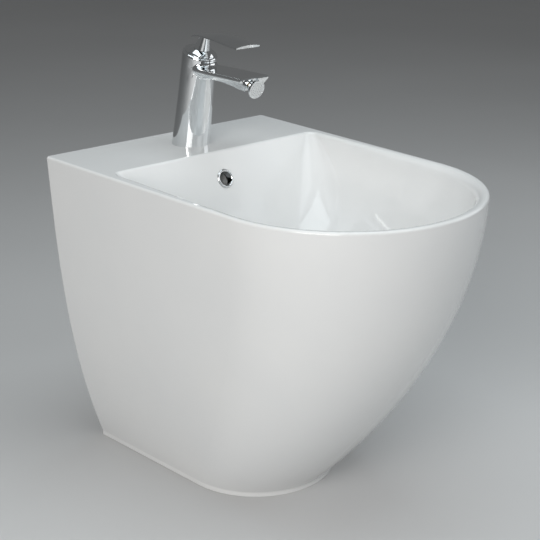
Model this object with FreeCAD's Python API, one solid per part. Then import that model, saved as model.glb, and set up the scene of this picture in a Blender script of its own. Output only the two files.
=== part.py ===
import FreeCAD, Part
import math
import os

from FreeCAD import Placement, Rotation, Vector

# Back-to-wall bidet with a single-lever mixer, in millimetres.
# X runs across, the wall is on the +Y side, the nose points to -Y, and Z = 0 is the floor.

# Ceramic body
BODY_WIDTH = 360.0
BODY_DEPTH = 515.0
BODY_HEIGHT = 410.0
FOOT_WIDTH = 236.0
FOOT_DEPTH = 300.0
NOSE_INSET = 10.0
FOOT_NOSE_INSET = 13.0
SIDE_DRAFT = 21.0
SIDE_TUCK_POWER = 3.0
FRONT_TUCK_POWER = 1.83
NOSE_TUCK_POWER = 2.5
PLINTH_HEIGHT = 6.0
PLINTH_FILLET = 4.0
BACK_CORNER_RADIUS = 5.0
SKIRT_WALL = 11.0
SKIRT_SECTIONS = 8
RIM_WIDTH = 15.0
RIM_ROUND = 3.0
DECK_DEPTH = 122.0
DECK_THICKNESS = 14.0

# Bowl
BOWL_DEPTH = 147.0
BOWL_WALL = 11.0
BOWL_FLOOR_SHARE = 0.98
BOWL_SECTIONS = 8
BOWL_BACK_SLOPE = 23.5
BOWL_CORNER_RADIUS = 10.0
BOWL_LOW_CORNER_RADIUS = 30.0
BOWL_CORNER_SWELL = 90.0
BOWL_FRONT_POWER = 2.0
BOWL_SIDE_POWER = 2.8
BOWL_BACK_POWER = 6.0
BOWL_NOSE_SHARE = 0.96
BOWL_CORNER_ROOM = 0.8
BOWL_LIP_ROUND = 11.0
DECK_LIP_ROUND = 4.0
DRAIN_SETBACK = 255.0

# Overflow
OVERFLOW_DROP = 36.5
OVERFLOW_HOLE_RADIUS = 10.6
OVERFLOW_FLANGE_RADIUS = 12.2
OVERFLOW_FLANGE = 2.4
OVERFLOW_SINK = 0.8
OVERFLOW_BORE_RADIUS = 9.2
OVERFLOW_SLEEVE = 8.0
DUCT_GAP = 12.0
DUCT_WIDTH = 28.0
DUCT_WALL = 9.0
DUCT_DROP = 23.0

# Waste outlet
WASTE_HOLE_RADIUS = 23.5
WASTE_BOSS_DEPTH = 42.0
WASTE_THREAD_RADIUS = 20.955
WASTE_BORE_RADIUS = 18.4
WASTE_FLANGE_RADIUS = 31.5
WASTE_FLANGE = 3.0
WASTE_FLANGE_BEVEL = 1.0
WASTE_TAIL = 37.0
TAIL_RELIEF = 1.5
TAIL_RELIEF_DEPTH = 0.8
WASTE_SLOT_WIDTH = 14.0
WASTE_SLOT_HEIGHT = 13.0
WASTE_FUNNEL_RADIUS = 25.0
WASTE_FUNNEL_DEPTH = 8.0
GASKET_THICKNESS = 2.0
CONE_WASHER = 6.0
BACKNUT_HEIGHT = 10.0
BACKNUT_FLATS = 54.0

# Stopper
PLUG_RADIUS = 29.0
PLUG_CROWN = 3.5
PLUG_EDGE = 2.5
PLUG_TRAVEL = 8.5
PLUG_SHUT_GAP = 0.5
PLUG_SEAL = 2.0
PLUG_SEAL_RADIUS = 23.0
PISTON_RADIUS = 6.2
GUIDE_PIN_RADIUS = 3.0
GUIDE_WALL = 2.0
GUIDE_SEAT_DROP = 45.0
GUIDE_COLLAR = 1.8
BRIDGE_HEIGHT = 4.0
BRIDGE_WALL = 2.4
BRIDGE_SPOKES = 3
SPRING_WIRE_RADIUS = 0.6
SPRING_RADIUS = 4.6
SPRING_TURNS = 6
SPRING_LENGTH = 17.0

# Tap column and spout
TAP_SETBACK = 66.0
TAP_LEAN = 10.7
TAP_HOLE_RADIUS = 17.5
COLUMN_FOOT_RADIUS = 24.9
COLUMN_WAIST_RADIUS = 23.2
COLUMN_HEAD_RADIUS = 22.2
COLUMN_WAIST_HEIGHT = 50.0
HEAD_HEIGHT = 124.5
HEAD_RIM_TILT = 9.3
HEAD_RIM_ROUND = 2.8
SPOUT_REACH = 194.5
SPOUT_TOP = 105.3
SPOUT_HALF_WIDTH = 22.5
SPOUT_ROOT_HALF_WIDTH = 18.0
SPOUT_EDGE = 4.0
SPOUT_EDGE_ROUND = 1.9
SPOUT_DEPTH = 12.0
SPOUT_KEEL_HALF_WIDTH = 10.5
SPOUT_KEEL_ROUND = 6.0
SPOUT_TIP_DEPTH = 17.0
SPOUT_TIP_LENGTH = 14.0
SPOUT_SWELL_POWER = 3.0
SPOUT_SECTIONS = 4
SPOUT_ROOT_ROUND = 4.5
SPOUT_BORE_RADIUS = 2.8
SPOUT_FRONT_EDGE = 2.4
SPOUT_FRONT_UNDERCUT = 20.0
BASE_SEAL_RADIUS = 21.0
BASE_SEAL_WIDTH = 2.6
BASE_SEAL_HEIGHT = 1.6
INLET_RADIUS = 4.5
INLET_DEPTH = 14.0
INLET_HALF_SPACING = 8.5
INLET_BACK = 3.0
WATERWAY_RADIUS = 2.8

# Tap clamp
STUD_RADIUS = 4.0
STUD_FORWARD = 10.0
STUD_SOCKET = 12.0
STUD_TAIL = 24.0
CLAMP_WASHER_RADIUS = 27.0
CLAMP_WASHER = 3.0
CLAMP_PLATE_RADIUS = 25.0
CLAMP_PLATE = 2.5
CLAMP_SLOT_HALF_WIDTH = 15.0
CLAMP_NUT_FLATS = 13.0
CLAMP_NUT_HEIGHT = 7.0

# Cartridge, measured along the leaning column from the deck
CAVITY_FLOOR = 81.0
CARTRIDGE_RADIUS = 17.3
CARTRIDGE_BASE = 5.0
CARTRIDGE_WALL = 2.3
CARTRIDGE_LID = 3.0
FIXED_DISC = 4.0
MOVING_DISC = 3.5
MOVING_DISC_RADIUS = 11.4
MIXING_RADIUS = 8.5
CARRIER = 6.0
ROTOR_HEIGHT = 12.0
ROTOR_NECK_RADIUS = 10.3
ROTOR_NECK = 4.0
PORT_RADIUS = 2.6
PORT_HALF_SPACING = 7.0
PORT_BACK = 4.0
OUTLET_PORT_FORWARD = 7.0
PORT_SEAL_RADIUS = 4.4
PORT_SEAL = 1.4
STEM_RADIUS = 3.6
STEM_BALL_RADIUS = 2.4
STEM_NECK_RADIUS = 1.9
STEM_ARM = 12.0
STEM_REACH = 31.0
PIN_RADIUS = 1.5
PIN_LENGTH = 26.0
RETAINING_NUT = 5.0
RETAINING_NUT_BORE = 12.0
NUT_NOTCHES = 6
NUT_NOTCH = 3.0
LIFT_ANGLE = 16.0
DOME_RADIUS = 24.0
DOME_SHELL = 1.8
CAP_WALL = 2.4
CAP_LIP_RADIUS = 19.2
CAP_LIP = 1.0

# Lever
LEVER_HALF_WIDTH = 20.0
LEVER_REACH = 184.4
LEVER_BACK = 76.0
LEVER_HEIGHT = 139.7
LEVER_EDGE = 1.7
LEVER_CROWN = 3.6
LEVER_ARCH = 4.8
LEVER_BACK_HALF_WIDTH = 3.5
LEVER_FRONT_UNDERCUT = 20.0
LEVER_NECK_RADIUS = 5.6
LEVER_NECK_WAIST_RADIUS = 8.0
LEVER_NECK_FORWARD = 2.0
GRUB_RADIUS = 1.8
GRUB_LENGTH = 2.0
GRUB_HEIGHT = 26.0
INDEX_RADIUS = 2.2
INDEX_DEPTH = 1.4

# Lever blade stations: share of its length, rise by the arch, width from tail to full, edge and crown
LEVER_STATIONS = (
    (0.0, 0.0, 0.0, 0.7, 0.2),
    (0.12, 0.56, 0.21, 1.0, 0.4),
    (0.26, 0.9, 0.52, 1.0, 0.65),
    (0.45, 1.0, 0.84, 1.0, 1.0),
    (0.63, 0.83, 1.0, 1.0, 1.0),
    (0.82, 0.21, 0.97, 1.0, 0.8),
    (1.0, -0.19, 0.89, 1.0, 0.5),
)

# Swivelling spray head
BALL_SETBACK = 183.0
BALL_HEIGHT = 95.0
BALL_RADIUS = 3.6
NOZZLE_PITCH = 16.0
SEAT_RING = 0.6
SEAT_RING_BACK = 3.0
SEAT_RING_FRONT = 0.3
RETAINER_RADIUS = 5.0
RETAINER_BACK = 1.0
RETAINER_FRONT = 2.3
RETAINER_FLARE = 0.8
RETAINER_FLARE_WIDTH = 1.2
RETAINER_SEAL_HEIGHT = 0.7
RETAINER_SEAL_DEPTH = 0.5
NOZZLE_NECK_RADIUS = 2.0
NOZZLE_BORE_RADIUS = 1.2
NOZZLE_POCKET_RADIUS = 9.8
NOZZLE_POCKET_FLARE = 4.2
HEAD_BACK = 4.4
HEAD_SHOULDER = 7.2
HEAD_FRONT = 16.65
HEAD_SHOULDER_RADIUS = 7.7
HEAD_RADIUS = 11.6
HEAD_WALL = 1.2
HEAD_BACK_WALL = 2.0
HEAD_BAND = 1.8
SPRAY_PLATE = 1.4
SPRAY_PLATE_SINK = 0.2
SPRAY_HOLE_RADIUS = 0.45
SPRAY_RINGS = 3
SPRAY_SPOKES = 6
SPRAY_PITCH = 2.7

# Floor fixing
LEDGE_BOTTOM = 15.0
LEDGE_THICKNESS = 12.0
LEDGE_SETBACK = 115.0
LEDGE_LENGTH = 40.0
LEDGE_INNER_X = 70.0
BRACKET_INNER_X = 45.0
BRACKET_OUTER_X = 98.0
BRACKET_LENGTH = 36.0
FLOOR_HOLE_X = 57.0
FLOOR_HOLE_RADIUS = 3.5
FLOOR_SINK_RADIUS = 6.5
FLOOR_SINK_DEPTH = 4.0
BRACKET_BOLT_X = 84.0
BRACKET_BOLT_RADIUS = 4.0
BRACKET_BOLT_SOCKET = 11.0
BRACKET_BOLT_FLATS = 13.0
BRACKET_BOLT_HEAD = 5.3
BRACKET_WASHER_RADIUS = 9.0
BRACKET_WASHER = 2.0

# Clearances
THREAD_GAP = 0.05
SLIDE_GAP = 0.1
RUNNING_GAP = 0.06
MOVING_GAP = 0.4
FIT_GAP = 0.3
DISC_GAP = 0.05
OPEN_GAP = 1.0
TOUCH = 0.001

# Places worked out from the sizes above
WALL_Y = BODY_DEPTH / 2
NOSE_RADIUS = BODY_WIDTH / 2 - NOSE_INSET
FOOT_NOSE_RADIUS = FOOT_WIDTH / 2 - FOOT_NOSE_INSET
DECK_Z = BODY_HEIGHT
DECK_UNDERSIDE = DECK_Z - DECK_THICKNESS
LEAN = math.radians(TAP_LEAN)
BACK_SLOPE = math.radians(BOWL_BACK_SLOPE)
BOWL_FLOOR_Z = BODY_HEIGHT - BOWL_DEPTH
BOWL_FULL_DEPTH = BOWL_DEPTH / BOWL_FLOOR_SHARE
BALL_Z = DECK_Z + BALL_HEIGHT
SPOUT_TOP_Z = DECK_Z + SPOUT_TOP
LEVER_Z = DECK_Z + LEVER_HEIGHT
HALF_LIFT = math.radians(LIFT_ANGLE / 2)
DISC_OFFSET = STEM_ARM * math.sin(HALF_LIFT)
BORE_RADIUS = CARTRIDGE_RADIUS + FIT_GAP
HOUSING_BORE = CARTRIDGE_RADIUS - CARTRIDGE_WALL
DISC_SEAT = CAVITY_FLOOR + CARTRIDGE_BASE
MOVING_DISC_SEAT = DISC_SEAT + FIXED_DISC + DISC_GAP
CARRIER_SEAT = MOVING_DISC_SEAT + MOVING_DISC
ROTOR_SEAT = CARRIER_SEAT + CARRIER + MOVING_GAP
ROTOR_SHOULDER = ROTOR_SEAT + ROTOR_HEIGHT
HOUSING_LID = ROTOR_SHOULDER + FIT_GAP
HOUSING_TOP = HOUSING_LID + CARTRIDGE_LID
NUT_TOP = HOUSING_TOP + RETAINING_NUT
PIVOT = CARRIER_SEAT + CARRIER / 2 + STEM_ARM
STEM_HOLE_RADIUS = DOME_RADIUS * math.sin(HALF_LIFT) + STEM_RADIUS + MOVING_GAP
LEVER_SKIRT_RADIUS = STEM_HOLE_RADIUS + DOME_RADIUS * math.sin(HALF_LIFT)
WASTE_UNDERSIDE = -WASTE_BOSS_DEPTH
NUT_SEAT = WASTE_UNDERSIDE - CONE_WASHER
TAIL_TOP = NUT_SEAT - BACKNUT_HEIGHT
TAIL_BOTTOM = TAIL_TOP - WASTE_TAIL
FLANGE_TOP = GASKET_THICKNESS + WASTE_FLANGE
PLUG_UNDERSIDE = FLANGE_TOP + PLUG_TRAVEL + PLUG_SHUT_GAP
GUIDE_SEAT = -GUIDE_SEAT_DROP
GUIDE_BORE = PISTON_RADIUS + SLIDE_GAP
GUIDE_RADIUS = GUIDE_BORE + GUIDE_WALL
GUIDE_FLOOR = GUIDE_SEAT - SPRING_LENGTH
PISTON_BOTTOM = GUIDE_FLOOR + SPRING_LENGTH
SEAT_BORE = BALL_RADIUS + SLIDE_GAP + SEAT_RING + SLIDE_GAP


def spot(x, setback, z):
    """A point given by its distance from the wall."""
    return Vector(x, WALL_Y - setback, z)


def placed(shape, origin, tilt):
    """The shape with its own Z axis tipped forward by tilt degrees and its origin moved."""
    seat = Placement(origin, Rotation(Vector(1, 0, 0), tilt))
    moved = shape.copy()
    moved.Placement = seat.multiply(moved.Placement)
    return moved


def on_column(shape):
    return placed(shape, spot(0, TAP_SETBACK, DECK_Z), TAP_LEAN)


def column_point(x, y, height):
    seat = Placement(spot(0, TAP_SETBACK, DECK_Z), Rotation(Vector(1, 0, 0), TAP_LEAN))
    return seat.multVec(Vector(x, y, height))


def on_rim(shape):
    """The shape on the head's rim, which tips further forward than the column leans."""
    return placed(shape, column_point(0, 0, HEAD_HEIGHT), TAP_LEAN + HEAD_RIM_TILT)


def on_stem(shape):
    return placed(shape, column_point(0, 0, PIVOT), TAP_LEAN + LIFT_ANGLE / 2)


def on_ball(shape):
    return placed(shape, spot(0, BALL_SETBACK, BALL_Z), 90 + NOZZLE_PITCH)


def on_drain(shape):
    return placed(shape, spot(0, DRAIN_SETBACK, BOWL_FLOOR_Z), 0)


def overflow_point():
    down = OVERFLOW_DROP * math.cos(BACK_SLOPE)
    forward = OVERFLOW_DROP * math.sin(BACK_SLOPE)
    return DECK_DEPTH + forward, BODY_HEIGHT - down


def on_overflow(shape):
    setback, z = overflow_point()
    return placed(shape, spot(0, setback, z), 90 - BOWL_BACK_SLOPE)


def rod(radius, low, high, x=0.0, y=0.0):
    return Part.makeCylinder(radius, high - low, Vector(x, y, low))


def ring(outer, inner, low, high):
    return rod(outer, low, high).cut(rod(inner, low, high))


def block(low, high):
    """A box between two corners."""
    size = high.sub(low)
    return Part.makeBox(size.x, size.y, size.z, low)


def pipe(start, end, radius):
    run = end.sub(start)
    return Part.makeCylinder(radius, run.Length, start, run)


def turned(edges):
    """A solid of revolution about Z from closed profile edges in the XZ plane."""
    return Part.Face(Part.Wire(edges)).revolve(Vector(0, 0, 0), Vector(0, 0, 1), 360)


def line(start, end):
    return Part.LineSegment(start, end).toShape()


def arc(start, middle, end):
    return Part.Arc(start, middle, end).toShape()


def turned_polygon(points):
    corners = [Vector(r, 0, z) for r, z in points]
    edges = [line(a, b) for a, b in zip(corners, corners[1:] + corners[:1])]
    return turned(edges)


def hexagon(flats, low, high, hole):
    corner = flats / math.sqrt(3)
    turns = [math.radians(60 * i) for i in range(7)]
    corners = [Vector(corner * math.cos(a), corner * math.sin(a), low) for a in turns]
    solid = Part.Face(Part.makePolygon(corners)).extrude(Vector(0, 0, high - low))
    return solid.cut(rod(hole, low, high))


def rounded_outline(corners, radii):
    """A closed outline through the corners, each rounded by its radius."""
    rounds = []
    for i, corner in enumerate(corners):
        back = corners[i - 1].sub(corner).normalize()
        ahead = corners[(i + 1) % len(corners)].sub(corner).normalize()
        half_angle = back.getAngle(ahead) / 2
        run = radii[i] / math.tan(half_angle)
        inset = radii[i] / math.sin(half_angle) - radii[i]
        middle = corner.add(back.add(ahead).normalize() * inset)
        rounds.append((corner.add(back * run), middle, corner.add(ahead * run)))
    edges = []
    for here, following in zip(rounds, rounds[1:] + rounds[:1]):
        edges.append(arc(*here))
        edges.append(line(here[2], following[0]))
    return Part.Wire(edges)


def loft(sections):
    return Part.makeLoft(sections, True, False)


def d_section(z, half, back, front, nose, corner):
    """A level D outline: back line, round corners, straight sides and a round nose."""
    centre = front - nose
    reach = math.hypot(half, back - centre)
    turn = math.atan2(back - centre, half) + math.acos(nose / reach)
    tangent = Vector(nose * math.cos(turn), centre + nose * math.sin(turn), 0)
    bend = Vector(half, back, 0)
    inward = Vector(-1, 0, 0)
    along = tangent.sub(bend).normalize()
    half_angle = inward.getAngle(along) / 2
    bisector = inward.add(along).normalize()
    run = corner / math.tan(half_angle)
    middle = bend.add(bisector * (corner / math.sin(half_angle) - corner))
    shoulder = (turn + math.pi / 2) / 2
    cheek = Vector(nose * math.cos(shoulder), centre + nose * math.sin(shoulder), 0)
    heel = bend.add(inward * run)
    flank = bend.add(along * run)

    def right(p):
        return spot(p.x, p.y, z)

    def left(p):
        return spot(-p.x, p.y, z)

    tip = spot(0, front, z)
    return Part.Wire([
        line(left(heel), right(heel)),
        arc(right(heel), right(middle), right(flank)),
        line(right(flank), right(tangent)),
        arc(right(tangent), right(cheek), tip),
        arc(tip, left(cheek), left(tangent)),
        line(left(tangent), left(flank)),
        arc(left(flank), left(middle), left(heel)),
    ])


def skirt_size(z):
    """Half width at the wall, reach from the wall and nose radius at a height."""
    t = (BODY_HEIGHT - z) / (BODY_HEIGHT - PLINTH_HEIGHT)
    tuck = (BODY_WIDTH - FOOT_WIDTH) / 2 - SIDE_DRAFT
    half = BODY_WIDTH / 2 - SIDE_DRAFT * t - tuck * t ** SIDE_TUCK_POWER
    front = BODY_DEPTH - (BODY_DEPTH - FOOT_DEPTH) * t ** FRONT_TUCK_POWER
    nose = NOSE_RADIUS - (NOSE_RADIUS - FOOT_NOSE_RADIUS) * (t + t ** NOSE_TUCK_POWER) / 2
    return half, front, nose


def skirt_section(z, size_z, inset, back):
    half, front, nose = skirt_size(size_z)
    return d_section(z, half - inset, back, front - inset, nose - inset, BACK_CORNER_RADIUS)


def skirt_solid(inset, back, low, top):
    """The skirt's form moved inwards by inset, from low up to top, with the upright plinth."""
    steps = SKIRT_SECTIONS - 1
    heights = [PLINTH_HEIGHT + (top - PLINTH_HEIGHT) * i / steps for i in range(SKIRT_SECTIONS)]
    upper = loft([skirt_section(z, z, inset, back) for z in heights])
    foot = Part.Face(skirt_section(low, PLINTH_HEIGHT, inset, back))
    return upper.fuse(foot.extrude(Vector(0, 0, PLINTH_HEIGHT - low)))


def bowl_section(share, wall):
    """The bowl's outline at a share of its full depth, moved outwards by wall."""
    half_top, front_top, nose_top = skirt_size(BODY_HEIGHT)
    side_run = (half_top - nose_top) / (front_top - nose_top)
    half_top = half_top - RIM_WIDTH - side_run * DECK_DEPTH
    front_run = front_top - RIM_WIDTH - DRAIN_SETBACK
    back_run = DRAIN_SETBACK - DECK_DEPTH - math.tan(BACK_SLOPE) * BOWL_FULL_DEPTH * share
    side_shape = (1 - share ** BOWL_SIDE_POWER) ** (1 / BOWL_FRONT_POWER)
    front_shape = (1 - share ** BOWL_FRONT_POWER) ** (1 / BOWL_FRONT_POWER)
    back_shape = (1 - share ** BOWL_BACK_POWER) ** (1 / BOWL_FRONT_POWER)
    half = half_top * side_shape + wall
    front = DRAIN_SETBACK + front_run * front_shape + wall
    back = DRAIN_SETBACK - back_run * back_shape - wall
    nose_limit = nose_top - RIM_WIDTH + wall
    nose = min(nose_limit, half * BOWL_NOSE_SHARE)
    corner = BOWL_CORNER_RADIUS + (BOWL_LOW_CORNER_RADIUS - BOWL_CORNER_RADIUS) * share
    corner = corner + BOWL_CORNER_SWELL * share * (1 - share)
    corner = min(corner, BOWL_CORNER_ROOM * half, BOWL_CORNER_ROOM * (front - back - nose))
    z = BODY_HEIGHT - (BOWL_FULL_DEPTH + wall) * share
    return d_section(z, half, back, front, nose, corner)


def bowl_solid(wall):
    """The bowl's form moved outwards by wall, standing a little proud of the rim."""
    last = math.asin(BOWL_FLOOR_SHARE)
    steps = BOWL_SECTIONS - 1
    sections = [bowl_section(math.sin(last * i / steps), wall) for i in range(BOWL_SECTIONS)]
    mouth = Part.Face(sections[0]).extrude(Vector(0, 0, OPEN_GAP))
    return loft(sections).fuse(mouth)


def edges_in_plane(shape, origin, normal):
    """The edges whose ends and middle lie in a plane."""
    found = []
    for edge in shape.Edges:
        first, last = edge.ParameterRange
        points = [edge.valueAt(p) for p in (first, (first + last) / 2, last)]
        if all(abs(p.sub(origin).dot(normal)) < TOUCH for p in points):
            found.append(edge)
    return found


def level_edges(shape, z):
    return edges_in_plane(shape, Vector(0, 0, z), Vector(0, 0, 1))


def meeting_edges(shape, first, second):
    """The edges of a fused shape along which the skins of its two pieces meet."""
    found = []
    for edge in shape.Edges:
        middle = Part.Vertex(edge.valueAt(sum(edge.ParameterRange) / 2))
        gaps = [min(face.distToShape(middle)[0] for face in piece.Faces) for piece in (first, second)]
        if max(gaps) < TOUCH:
            found.append(edge)
    return found


def strip(start, end, half, width):
    """A bar of the overflow duct between two (setback, z) points, square at both ends."""
    run = Vector(end[0] - start[0], end[1] - start[1], 0).normalize()
    side = Vector(-run.y, run.x, 0) * half
    first = Vector(start[0], start[1], 0).sub(run * half)
    last = Vector(end[0], end[1], 0).add(run * half)
    corners = [first.add(side), last.add(side), last.sub(side), first.sub(side), first.add(side)]
    outline = Part.makePolygon([spot(-width / 2, p.x, p.y) for p in corners])
    return Part.Face(outline).extrude(Vector(width, 0, 0))


def duct(margin):
    """The overflow's way behind the bowl, grown by margin on every side."""
    setback, z = overflow_point()
    behind = BOWL_WALL + DUCT_GAP / 2 + OPEN_GAP
    back = (setback - behind * math.cos(BACK_SLOPE), z - behind * math.sin(BACK_SLOPE))
    rise = OVERFLOW_HOLE_RADIUS
    top = (back[0] - rise * math.sin(BACK_SLOPE), back[1] + rise * math.cos(BACK_SLOPE))
    turn_z = BOWL_FLOOR_Z - DUCT_DROP
    turn = (back[0] + (back[1] - turn_z) * math.tan(BACK_SLOPE), turn_z)
    drain = (DRAIN_SETBACK - WASTE_THREAD_RADIUS, turn_z)
    half = DUCT_GAP / 2 + margin
    width = DUCT_WIDTH + 2 * margin
    return strip(top, turn, half, width).fuse(strip(turn, drain, half, width))


def ledge(side):
    """An inner shelf that the floor bracket's bolt pulls down on."""
    inner = side * LEDGE_INNER_X
    outer = side * BODY_WIDTH / 2
    half = LEDGE_LENGTH / 2
    low = spot(min(inner, outer), LEDGE_SETBACK + half, LEDGE_BOTTOM)
    high = spot(max(inner, outer), LEDGE_SETBACK - half, LEDGE_BOTTOM + LEDGE_THICKNESS)
    return block(low, high)


def rim_rounds(body):
    """Edge numbers and radii around the rim: outside, along the deck's edge and on the bowl's lip."""
    rim = level_edges(body, BODY_HEIGHT)
    mouth = bowl_section(0, 0)
    rounds = []
    for number, edge in enumerate(body.Edges, 1):
        if not any(edge.isSame(e) for e in rim):
            continue
        middle = Part.Vertex(edge.valueAt(sum(edge.ParameterRange) / 2))
        radius = BOWL_LIP_ROUND
        if mouth.distToShape(middle)[0] > TOUCH:
            radius = RIM_ROUND
        elif edge.BoundBox.YMax > WALL_Y - DECK_DEPTH - TOUCH:
            radius = DECK_LIP_ROUND
        rounds.append((number, radius, radius))
    return rounds


def rounded(solid, rounds):
    """The solid with each numbered edge rounded by its own radius."""
    document = FreeCAD.newDocument()
    base = document.addObject("Part::Feature")
    base.Shape = solid
    fillet = document.addObject("Part::Fillet")
    fillet.Base = base
    fillet.Edges = rounds
    document.recompute()
    shape = fillet.Shape.copy()
    FreeCAD.closeDocument(document.Name)
    return shape


def behind_wall():
    return block(spot(-BODY_WIDTH, 0, -BODY_HEIGHT), spot(BODY_WIDTH, -BODY_DEPTH, 2 * BODY_HEIGHT))


def ceramic_body():
    body = skirt_solid(0, -OPEN_GAP, 0, BODY_HEIGHT).cut(bowl_solid(0))
    crease = [e for e in level_edges(body, PLINTH_HEIGHT)
              if e.BoundBox.YMin < WALL_Y - BACK_CORNER_RADIUS * 2]
    body = body.makeFillet(PLINTH_FILLET, crease)
    body = rounded(body, rim_rounds(body))
    kept = bowl_solid(BOWL_WALL).fuse([
        on_drain(rod(WASTE_HOLE_RADIUS + BOWL_WALL, WASTE_UNDERSIDE, 0)),
        duct(DUCT_WALL),
        ledge(1),
        ledge(-1),
    ])
    hollow = skirt_solid(SKIRT_WALL, -SKIRT_WALL, -OPEN_GAP, DECK_UNDERSIDE).cut(kept)
    body = body.cut([hollow, behind_wall()])
    holes = [
        duct(0),
        on_overflow(rod(OVERFLOW_HOLE_RADIUS, -BOWL_WALL - DUCT_GAP, OPEN_GAP)),
        on_overflow(rod(OVERFLOW_FLANGE_RADIUS + FIT_GAP, -OVERFLOW_SINK, BOWL_WALL)),
        on_drain(rod(WASTE_HOLE_RADIUS, WASTE_UNDERSIDE - OPEN_GAP, OPEN_GAP)),
        on_drain(rod(WASTE_FLANGE_RADIUS + OPEN_GAP, 0, BOWL_WALL)),
        pipe(spot(0, TAP_SETBACK, DECK_UNDERSIDE - OPEN_GAP), spot(0, TAP_SETBACK, DECK_Z + OPEN_GAP),
             TAP_HOLE_RADIUS),
    ]
    for side in (1, -1):
        low = spot(side * BRACKET_BOLT_X, LEDGE_SETBACK, LEDGE_BOTTOM - OPEN_GAP)
        high = spot(side * BRACKET_BOLT_X, LEDGE_SETBACK, LEDGE_BOTTOM + LEDGE_THICKNESS + OPEN_GAP)
        holes.append(pipe(low, high, BRACKET_BOLT_RADIUS + OPEN_GAP))
    return body.cut(holes)


def overflow_ring():
    top = OVERFLOW_FLANGE - OVERFLOW_SINK
    sleeve = OVERFLOW_HOLE_RADIUS - SLIDE_GAP
    flange = OVERFLOW_FLANGE_RADIUS
    bore = OVERFLOW_BORE_RADIUS
    crest = (flange + bore) / 2
    corners = [Vector(r, 0, z) for r, z in (
        (bore, -OVERFLOW_SINK - OVERFLOW_SLEEVE), (sleeve, -OVERFLOW_SINK - OVERFLOW_SLEEVE),
        (sleeve, -OVERFLOW_SINK), (flange, -OVERFLOW_SINK), (flange, top / 2), (bore, top / 2))]
    edges = [line(a, b) for a, b in zip(corners[:4], corners[1:5])]
    edges.append(arc(corners[4], Vector(crest, 0, top), corners[5]))
    edges.append(line(corners[5], corners[0]))
    return on_overflow(turned(edges))


def bridge():
    """The hub and spokes cast across the waste's bore, which carry the stopper's guide."""
    low = GUIDE_SEAT - BRIDGE_HEIGHT
    half = BRIDGE_WALL / 2
    hole = GUIDE_RADIUS + SLIDE_GAP
    solid = ring(hole + BRIDGE_WALL, hole, low, GUIDE_SEAT)
    wall = (WASTE_BORE_RADIUS + WASTE_THREAD_RADIUS) / 2
    for i in range(BRIDGE_SPOKES):
        spoke = block(Vector(hole + half, -half, low), Vector(wall, half, GUIDE_SEAT))
        spoke.rotate(Vector(0, 0, 0), Vector(0, 0, 1), 90 + i * 360 / BRIDGE_SPOKES)
        solid = solid.fuse(spoke)
    return solid


def waste_body():
    bore = WASTE_BORE_RADIUS
    funnel = FLANGE_TOP - WASTE_FUNNEL_DEPTH
    relief = WASTE_THREAD_RADIUS - TAIL_RELIEF_DEPTH
    relief_low = TAIL_TOP - TAIL_RELIEF
    solid = turned_polygon([
        (bore, TAIL_BOTTOM), (WASTE_THREAD_RADIUS, TAIL_BOTTOM), (WASTE_THREAD_RADIUS, relief_low),
        (relief, relief_low), (relief, TAIL_TOP), (WASTE_THREAD_RADIUS, TAIL_TOP),
        (WASTE_THREAD_RADIUS, GASKET_THICKNESS),
        (WASTE_FLANGE_RADIUS, GASKET_THICKNESS), (WASTE_FLANGE_RADIUS - WASTE_FLANGE_BEVEL, FLANGE_TOP),
        (WASTE_FUNNEL_RADIUS, FLANGE_TOP), (bore, funnel)])
    half = WASTE_SLOT_WIDTH / 2
    low = -DUCT_DROP - WASTE_SLOT_HEIGHT / 2
    slot = block(Vector(-half, -WASTE_HOLE_RADIUS, low),
                 Vector(half, WASTE_HOLE_RADIUS, low + WASTE_SLOT_HEIGHT))
    return on_drain(solid.cut(slot).fuse(bridge()))


def waste_gasket():
    inner = WASTE_THREAD_RADIUS + SLIDE_GAP
    return on_drain(ring(WASTE_FLANGE_RADIUS - OPEN_GAP, inner, 0, GASKET_THICKNESS))


def waste_cone_washer():
    inner = WASTE_THREAD_RADIUS + THREAD_GAP
    outer = WASTE_HOLE_RADIUS + BOWL_WALL - OPEN_GAP
    return on_drain(turned_polygon([
        (inner, NUT_SEAT), (outer - CONE_WASHER / 2, NUT_SEAT), (outer, WASTE_UNDERSIDE - CONE_WASHER / 2),
        (outer, WASTE_UNDERSIDE), (inner, WASTE_UNDERSIDE)]))


def waste_backnut():
    return on_drain(hexagon(BACKNUT_FLATS, TAIL_TOP, NUT_SEAT, WASTE_THREAD_RADIUS + THREAD_GAP))


def plug_guide():
    top = GUIDE_SEAT + GUIDE_COLLAR
    solid = rod(GUIDE_RADIUS, GUIDE_FLOOR - GUIDE_WALL, top)
    solid = solid.fuse(rod(GUIDE_RADIUS + BRIDGE_WALL, GUIDE_SEAT, top))
    solid = solid.cut(rod(GUIDE_BORE, GUIDE_FLOOR, top))
    solid = solid.cut(rod(GUIDE_PIN_RADIUS + SLIDE_GAP, GUIDE_FLOOR - GUIDE_WALL, top))
    return on_drain(solid)


def plug_stem():
    top = PLUG_UNDERSIDE + PLUG_EDGE
    pin = rod(GUIDE_PIN_RADIUS, GUIDE_FLOOR - GUIDE_WALL, PISTON_BOTTOM)
    return on_drain(rod(PISTON_RADIUS, PISTON_BOTTOM, top).fuse(pin))


def waste_plug():
    top = PLUG_UNDERSIDE + PLUG_EDGE
    crest = top + PLUG_CROWN
    dome_radius = (PLUG_RADIUS ** 2 + PLUG_CROWN ** 2) / (2 * PLUG_CROWN)
    dome = Part.makeSphere(dome_radius, Vector(0, 0, crest - dome_radius))
    solid = dome.common(rod(PLUG_RADIUS, PLUG_UNDERSIDE, crest))
    return on_drain(solid.cut(rod(PISTON_RADIUS + THREAD_GAP, PLUG_UNDERSIDE, top)))


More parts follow.
